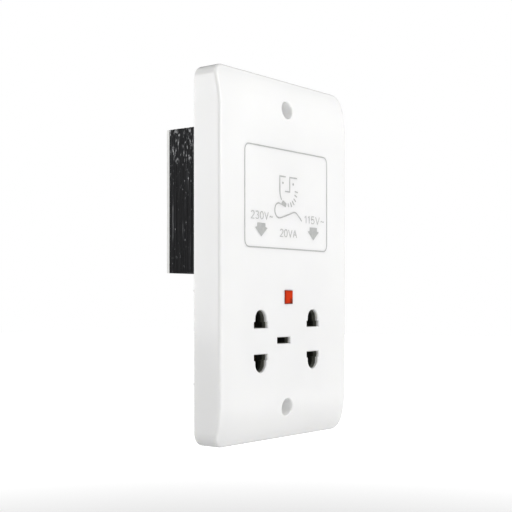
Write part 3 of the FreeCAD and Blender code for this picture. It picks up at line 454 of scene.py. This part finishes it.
def nylon(name, dark, light):
    material, tree, shader = principled(name, light, 0.42, Subsurface_Weight=0.12,
                                        Subsurface_Scale=mm(1))
    cloud = texture(tree, "Noise", 0.25, Detail=4.0)
    tint(tree, shader, cloud, (0.3, dark), (0.7, light))
    polish(tree, shader, texture(tree, "Noise", 1.5, Detail=3.0), 0.34, 0.5)
    relief(tree, shader, texture(tree, "Noise", 5.0, Detail=3.0), 0.008, 0.5)
    return material


def plated_steel(name, dark, light, roughness):
    material, tree, shader = principled(name, light, roughness, Metallic=1.0)
    grain = texture(tree, "Noise", 1.6, Detail=6.0)
    tint(tree, shader, grain, (0.3, dark), (0.7, light))
    polish(tree, shader, grain, roughness * 0.7, roughness * 1.4)
    relief(tree, shader, texture(tree, "Noise", 7.0, Detail=2.0), 0.005, 0.5)
    return material


def core_varnish():
    """Light streaks down the dark sheets, partly varnish runs and partly painted highlight, painted
    glints near the top, and fewer streaks at the foot.
    """
    material, tree, shader = principled("core_varnish", (0.01, 0.01, 0.012), 0.5,
                                        Specular_IOR_Level=0.14)
    run = texture(tree, "Noise", 0.9, stretch=(1.3, 1.3, 0.045), Detail=3.0, Roughness=0.65)
    drip_and_painted_glint = texture(tree, "Noise", 1.0, stretch=(1.3, 1.3, 0.42), Detail=3.0, Roughness=0.6)
    level = coordinate(tree, "Z")
    # Bright spots near the top are painted glints, and the streaks are partly painted highlight; the
    # foot has fewer of them.
    painted_glints = between(tree, level, mm(*VARNISH_PAINTED_GLINTS), (-0.05, 0.075))
    foot = between(tree, level, mm(*VARNISH_FOOT), (-0.08, 0.0))
    streak_and_painted_highlight = combine(tree, "ADD", combine(tree, "ADD", run, foot), -0.015)
    value = combine(tree, "MAXIMUM", streak_and_painted_highlight, combine(tree, "ADD", drip_and_painted_glint, painted_glints))
    tint(tree, shader, value, (0.5, (0.002, 0.002, 0.003)), (0.6, (0.009, 0.01, 0.012)),
         (0.66, (0.09, 0.092, 0.095)), (0.72, (0.5, 0.5, 0.51)))
    polish(tree, shader, drip_and_painted_glint, 0.3, 0.75)
    relief(tree, shader, run, 0.3, 0.8)
    relief(tree, shader, drip_and_painted_glint, 0.3, 0.6)
    return material


def enamelled_copper():
    material, tree, shader = principled("enamelled_copper", (0.62, 0.25, 0.1), 0.25, Metallic=0.85,
                                        Coat_Weight=0.6, Coat_Roughness=0.1)
    turn = texture(tree, "Wave", 0.8, bands="X", Distortion=0.6)
    tint(tree, shader, turn, (0.1, (0.28, 0.09, 0.03)), (0.6, (0.68, 0.29, 0.12)))
    relief(tree, shader, turn, 0.15, 0.9)
    return material


def winding_tape():
    material, tree, shader = principled("winding_tape", (0.86, 0.62, 0.08), 0.22, Coat_Weight=0.4,
                                        Coat_Roughness=0.08)
    turn = texture(tree, "Wave", 0.75, bands="X", Distortion=1.2)
    cloud = texture(tree, "Noise", 0.2, Detail=4.0)
    tint(tree, shader, cloud, (0.3, (0.72, 0.46, 0.05)), (0.7, (0.9, 0.66, 0.1)))
    relief(tree, shader, turn, 0.05, 0.5)
    relief(tree, shader, cloud, 0.3, 0.6)
    return material


def cutout_case():
    material, tree, shader = principled("cutout_case", (0.12, 0.12, 0.12), 0.5)
    fleck = texture(tree, "Noise", 4.0, Detail=4.0)
    tint(tree, shader, fleck, (0.3, (0.09, 0.09, 0.09)), (0.7, (0.15, 0.15, 0.15)))
    relief(tree, shader, fleck, 0.02, 0.6)
    return material


def insulator_sheet():
    material, tree, shader = principled("insulator_sheet", (0.86, 0.86, 0.84), 0.55)
    fibre = texture(tree, "Noise", 1.4, stretch=(1, 1, 0.25), Detail=7.0)
    tint(tree, shader, fibre, (0.3, (0.8, 0.8, 0.77)), (0.7, (0.9, 0.9, 0.885)))
    relief(tree, shader, fibre, 0.03, 0.7)
    return material


def lead_insulation(name, dark, light):
    material, tree, shader = principled(name, light, 0.38, Coat_Weight=0.15)
    cloud = texture(tree, "Noise", 0.6, Detail=3.0)
    tint(tree, shader, cloud, (0.3, dark), (0.7, light))
    polish(tree, shader, texture(tree, "Noise", 2.0), 0.3, 0.46)
    relief(tree, shader, texture(tree, "Noise", 3.0, Detail=3.0), 0.015, 0.5)
    return material


def print_ink():
    material, tree, shader = principled("print_ink", (0.41, 0.415, 0.41), 0.4)
    fade = texture(tree, "Noise", 0.8, Detail=3.0)
    tint(tree, shader, fade, (0.3, (0.385, 0.39, 0.385)), (0.7, (0.44, 0.445, 0.435)))
    return material


def painted_lit_rim_moulding():
    """The housing's black, painted lighter as painted light where it shows in the openings."""
    material, tree, shader = principled("painted_lit_rim_moulding", (0.13, 0.135, 0.115), 0.5)
    fleck = texture(tree, "Noise", 2.0, Detail=4.0)
    tint(tree, shader, fleck, (0.3, (0.095, 0.1, 0.083)), (0.7, (0.18, 0.185, 0.158)))
    return material


MATERIALS = {
    "white_moulding": white_moulding(),
    "red_lens": red_lens(),
    "lamp_glass": lamp_glass(),
    "resistor_body": resistor_body(),
    "black_moulding": black_moulding(),
    "contact_brass": contact_brass(),
    "carriage_nylon": nylon("carriage_nylon", (0.72, 0.7, 0.64), (0.82, 0.8, 0.74)),
    "spring_steel": plated_steel("spring_steel", (0.42, 0.42, 0.43), (0.62, 0.62, 0.63), 0.25),
    "terminal_moulding": nylon("terminal_moulding", (0.78, 0.78, 0.74), (0.87, 0.87, 0.84)),
    "screw_steel": plated_steel("screw_steel", (0.5, 0.5, 0.51), (0.72, 0.72, 0.72), 0.3),
    "core_varnish": core_varnish(),
    "bobbin_nylon": nylon("bobbin_nylon", (0.075, 0.075, 0.075), (0.13, 0.13, 0.13)),
    "pin_tin": plated_steel("pin_tin", (0.6, 0.6, 0.58), (0.8, 0.8, 0.78), 0.25),
    "enamelled_copper": enamelled_copper(),
    "winding_tape": winding_tape(),
    "cutout_case": cutout_case(),
    "insulator_sheet": insulator_sheet(),
    "lead_brown": lead_insulation("lead_brown", (0.16, 0.07, 0.035), (0.24, 0.115, 0.06)),
    "lead_blue": lead_insulation("lead_blue", (0.03, 0.11, 0.34), (0.05, 0.17, 0.46)),
    "lead_red": lead_insulation("lead_red", (0.42, 0.03, 0.025), (0.58, 0.05, 0.04)),
    "lead_yellow": lead_insulation("lead_yellow", (0.7, 0.54, 0.05), (0.84, 0.68, 0.09)),
    "lead_black": lead_insulation("lead_black", (0.02, 0.02, 0.02), (0.045, 0.045, 0.045)),
}
INK = print_ink()
SOLDER = plated_steel("solder", (0.55, 0.55, 0.56), (0.78, 0.78, 0.79), 0.22)
# A lighter copy of the housing's black, as painted light in the openings.
PAINTED_LIT_RIM = painted_lit_rim_moulding()


# Mesh helpers

def piece_from(name, mesh, material, body=BODY):
    piece = bpy.data.objects.new(name, mesh)
    bpy.context.scene.collection.objects.link(piece)
    mesh.materials.clear()
    mesh.materials.append(material)
    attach(piece, body)
    return piece


def close_bmesh(name, shape):
    mesh = bpy.data.meshes.new(name)
    bmesh.ops.recalc_face_normals(shape, faces=shape.faces)
    shape.to_mesh(mesh)
    shape.free()
    return mesh


def bridge(shape, here, there):
    """Adds the band of faces between two closed rings."""
    for n in range(len(here)):
        after = (n + 1) % len(here)
        shape.faces.new((here[n], here[after], there[after], there[n]))


def prism(shape, front, back):
    """Adds a solid between two closed rings."""
    shape.faces.new(front)
    shape.faces.new(list(reversed(back)))
    bridge(shape, back, front)


def on_plate(x, z, proud):
    """A place on the plate's front, in metres, from millimetres."""
    return Vector((mm(x), cad_front - mm(proud), mm(z)))


def flat_shape(shape, outline):
    """Adds a closed outline as a thin solid on the plate's front."""
    back, front = [[shape.verts.new(on_plate(x, z, proud)) for x, z in outline]
                   for proud in (-INK_SINK, INK_THICKNESS)]
    prism(shape, front, back)


def stroke(shape, path, width=INK_LINE, closed=False):
    """Adds a line of an even width along a path of places, mitred at its turns."""
    points = [Vector(place) for place in path]
    count = len(points)
    sides = []
    for n, point in enumerate(points):
        before = points[n - 1] if closed or n > 0 else None
        after = points[(n + 1) % count] if closed or n < count - 1 else None
        ways = [(end - start).normalized() for start, end in ((before, point), (point, after))
                if start is not None and end is not None]
        way = sum(ways, Vector((0, 0))).normalized()
        across = Vector((-way.y, way.x)) * (width / 2)
        if len(ways) == 2:
            across /= max(MITRE_LIMIT, ways[0].dot(way))
        sides.append((point + across, point - across))
    rings = [[shape.verts.new(on_plate(*side, proud)) for side in pair
              for proud in (-INK_SINK, INK_THICKNESS)] for pair in sides]
    for n in range(count if closed else count - 1):
        a, b = rings[n], rings[(n + 1) % count]
        for i, j in ((0, 1), (1, 3), (3, 2), (2, 0)):
            shape.faces.new((a[i], a[j], b[j], b[i]))
    if not closed:
        for ring in (rings[0], rings[-1]):
            shape.faces.new((ring[0], ring[1], ring[3], ring[2]))


def arc(middle, radius, start, end, steps=8):
    turns = [math.radians(start + (end - start) * n / steps) for n in range(steps + 1)]
    return [(middle[0] + radius * math.cos(turn), middle[1] + radius * math.sin(turn))
            for turn in turns]


def oval(middle, half, start, end, steps=14):
    return [(middle[0] + half[0] * x, middle[1] + half[1] * y)
            for x, y in arc((0, 0), 1, start, end, steps)]


def smooth_path(points, steps=6):
    """A Catmull-Rom curve through places."""
    ends = [points[0], *points, points[-1]]
    path = []
    for a, b, c, d in zip(ends, ends[1:], ends[2:], ends[3:]):
        for n in range(steps):
            t = n / steps
            path.append(tuple(0.5 * (2 * q + (r - p) * t + (2 * p - 5 * q + 4 * r - s) * t * t
                                     + (3 * q - p - 3 * r + s) * t ** 3)
                              for p, q, r, s in zip(a, b, c, d)))
    return path + [points[-1]]


# Print

def rounded_frame():
    left, right = FRAME_X[0] + FRAME_CORNER, FRAME_X[1] - FRAME_CORNER
    low, high = FRAME_Z[0] + FRAME_CORNER, FRAME_Z[1] - FRAME_CORNER
    turns = (((right, high), 0), ((left, high), 90), ((left, low), 180), ((right, low), 270))
    return [place for middle, start in turns
            for place in arc(middle, FRAME_CORNER, start, start + 90)]


def arrow(shape, x, tip, top):
    shoulder = top - ARROW_SHOULDER
    half = [(-ARROW_SHAFT, top), (-ARROW_SHAFT, shoulder), (-ARROW_WING, shoulder - ARROW_SLANT)]
    mirrored = [(-side, level) for side, level in reversed(half)]
    flat_shape(shape, [(x + side, level) for side, level in half + [(0, tip)] + mirrored])


def sign(shape):
    for path in SIGN_FACE:
        stroke(shape, path, SIGN_LINE)
    for eye in SIGN_EYES:
        flat_shape(shape, arc(eye, SIGN_EYE_RADIUS, 0, 330, 11))
    for path in SIGN_BEARD:
        stroke(shape, path, SIGN_LINE)
    flat_shape(shape, SIGN_SHAVER)
    stroke(shape, smooth_path(SIGN_CORD), SIGN_LINE)


# Each figure has its width, as a share of its height, and its strokes in a unit square
FIGURES = {
    "0": (0.6, [oval((0.5, 0.5), (0.5, 0.5), 90, 450, 24)]),
    "1": (0.34, [[(0.0, 0.78), (0.7, 1.0), (0.7, 0.0)]]),
    "2": (0.6, [oval((0.5, 0.72), (0.48, 0.28), 165, -35) + [(0.02, 0.0), (1.0, 0.0)]]),
    "3": (0.6, [oval((0.46, 0.76), (0.42, 0.24), 150, -85),
                oval((0.46, 0.27), (0.5, 0.27), 85, -150)]),
    "5": (0.6, [[(0.92, 1.0), (0.2, 1.0), (0.1, 0.5)]
                + oval((0.46, 0.32), (0.5, 0.32), 140, -150)]),
    "A": (0.7, [[(0.0, 0.0), (0.5, 1.0), (1.0, 0.0)], [(0.19, 0.36), (0.81, 0.36)]]),
    "V": (0.7, [[(0.0, 1.0), (0.5, 0.0), (1.0, 1.0)]]),
    "~": (0.6, [smooth_path([(0.0, 0.36), (0.25, 0.49), (0.5, 0.42), (0.75, 0.35), (1.0, 0.48)])]),
}


def figures(shape, text, left, base, width):
    """Plain figures drawn with even strokes."""
    shares = sum(FIGURES[figure][0] for figure in text)
    unit = width / (shares + FIGURE_GAP * (len(text) - 1))
    for figure in text:
        share, paths = FIGURES[figure]
        for path in paths:
            places = [(left + u * share * unit, base + v * FIGURE_HEIGHT) for u, v in path]
            stroke(shape, places, FIGURE_LINE)
        left += (share + FIGURE_GAP) * unit


def printed_marks():
    shape = bmesh.new()
    stroke(shape, rounded_frame(), closed=True)
    for x, tip, top in ARROWS:
        arrow(shape, x, tip, top)
    sign(shape)
    for text, left, base, width in MARKS:
        figures(shape, text, left, base, width)
    piece_from("printed_marks", close_bmesh("printed_marks", shape), INK)


# Black rims in the plate's openings, which stand for the mouths of the contact housing, in a black
# painted lighter as painted light

def keyhole(column, side, margin):
    """Outline of an opening above (1) or below (-1) the outlets' level, widened by a margin."""
    blade, pin = BLADE_HALF + margin, PIN_HALF + margin
    start, step = (BLADE_SPAN[0] - margin) * side, (BLADE_SPAN[1] + margin) * side
    turn = arc((0, PIN_TURN * side), pin, 0, 180 * side, PIN_STEPS)
    path = [(-blade, start), (blade, start), (blade, step), (pin, step), *turn,
            (-pin, step), (-blade, step)]
    return [(column + x, OUTLET_LEVEL + z) for x, z in path]


def release_slot(margin):
    half, rise = [size + margin for size in RELEASE_HALF]
    corners = ((-half, -rise), (half, -rise), (half, rise), (-half, rise))
    return [(RELEASE_COLUMN + x, OUTLET_LEVEL + z) for x, z in corners]


def opening_rims():
    shape = bmesh.new()
    outlines = [[keyhole(column, side, margin) for margin in RIM_MARGINS]
                for column in (-OUTLET_COLUMN, OUTLET_COLUMN) for side in (-1, 1)]
    outlines.append([release_slot(margin) for margin in RIM_MARGINS])
    start, end = [cad_front + mm(depth) for depth in RIM_DEPTHS]
    for outer, inner in outlines:
        corners = ((outer, start), (inner, start), (inner, end), (outer, end))
        rings = [[shape.verts.new((mm(x), depth, mm(z))) for x, z in path]
                 for path, depth in corners]
        for here, there in zip(rings, rings[1:] + rings[:1]):
            bridge(shape, here, there)
    piece_from("opening_rims", close_bmesh("opening_rims", shape), PAINTED_LIT_RIM)


# Core, as separate varnished sheets

def sheet_outline(letter):
    """Outline of a sheet in metres: an E that opens to +X, or the I that closes it."""
    low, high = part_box("core_e_stack")
    left, right, bottom, top = low.x, high.x, low.z, high.z
    if letter == "i":
        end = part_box("core_i_stack")[1].x
        return [(right, bottom), (end, bottom), (end, top), (right, top)]
    spine = left + mm(CORE_BACK)
    limb = mm(CORE_LIMB)
    middle = (bottom + top) / 2
    half = mm(CORE_MIDDLE_LIMB / 2)
    return [(left, bottom), (right, bottom), (right, bottom + limb), (spine, bottom + limb),
            (spine, middle - half), (right, middle - half), (right, middle + half),
            (spine, middle + half), (spine, top - limb), (right, top - limb), (right, top),
            (left, top)]


def laminations(name, node, letter, seed):
    chance = random.Random(seed)
    low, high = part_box(node)
    outline = sheet_outline(letter)
    count = round((high.y - low.y) / mm(SHEET_THICKNESS))
    pitch = (high.y - low.y) / count
    shape = bmesh.new()
    for n in range(count):
        shift_x = mm(chance.uniform(*SHEET_SHIFT_X))
        shift_z = mm(chance.uniform(*SHEET_SHIFT_Z))
        front = low.y + pitch * n
        rings = [[shape.verts.new((x + shift_x, y, z + shift_z)) for x, z in outline]
                 for y in (front, front + pitch * SHEET_FILL)]
        prism(shape, *rings)
    piece = piece_from(name, close_bmesh(name, shape), MATERIALS["core_varnish"])
    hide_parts(node)


# Solder where the leads meet the tails and pins

def blob(shape, kind, x, y, z):
    half, step = kind
    made = bmesh.ops.create_icosphere(shape, subdivisions=2, radius=1.0)
    for vertex in made["verts"]:
        vertex.co = Vector((x, y, z)) + mm(*step) + vertex.co * mm(*half)


def solder_joints():
    shape = bmesh.new()
    for name in ("contact_left_upper", "contact_right_upper", "contact_right_lower"):
        low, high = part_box(name)
        end = low.z + mm(TAIL_FOOT) if name == "contact_right_lower" else high.z
        blob(shape, TAIL_SOLDER, (low.x + high.x) / 2, high.y, end)
    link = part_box("common_link")[1]
    for name in ("contact_left_lower", "contact_right_lower"):
        low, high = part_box(name)
        blob(shape, LINK_SOLDER, (low.x + high.x) / 2, link.y, link.z)
    for name, kind in (("switch_blade_left", LEFT_BLADE_SOLDER),
                       ("switch_blade_right", RIGHT_BLADE_SOLDER)):
        low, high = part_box(name)
        blob(shape, kind, (low.x + high.x) / 2, high.y, (low.z + high.z) / 2)
    low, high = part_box("terminal_clamps")
    blob(shape, CLAMP_SOLDER, low.x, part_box("switch_blade_right")[1].y, high.z)
    low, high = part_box("bobbin_pins")
    for column in PIN_COLUMNS:
        blob(shape, PIN_SOLDER, mm(column), (low.y + high.y) / 2, low.z)
    for face in shape.faces:
        face.smooth = True
    piece_from("solder_joints", close_bmesh("solder_joints", shape), SOLDER)


# Spring behind the carriage

def coil_spring():
    coil = frame["nodes"]["carriage_spring"].data.copy()
    piece = piece_from("coil_spring", coil, MATERIALS["spring_steel"])
    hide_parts("carriage_spring")
    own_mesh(piece)


# Nodes that keep their CAD shape

def dress_nodes():
    slots = {part["node"]: part["material_slot"] for part in frame["record"]["subparts"]}
    for name, node in frame["nodes"].items():
        node.data.materials.clear()
        node.data.materials.append(MATERIALS[slots[name]])


camera()
studio()
floor()
dress_nodes()
laminations("core_e_sheets", "core_e_stack", "e", seed=4)
laminations("core_i_sheets", "core_i_stack", "i", seed=5)
printed_marks()
opening_rims()
coil_spring()
solder_joints()

bpy.context.scene.view_settings.view_transform = "Standard"
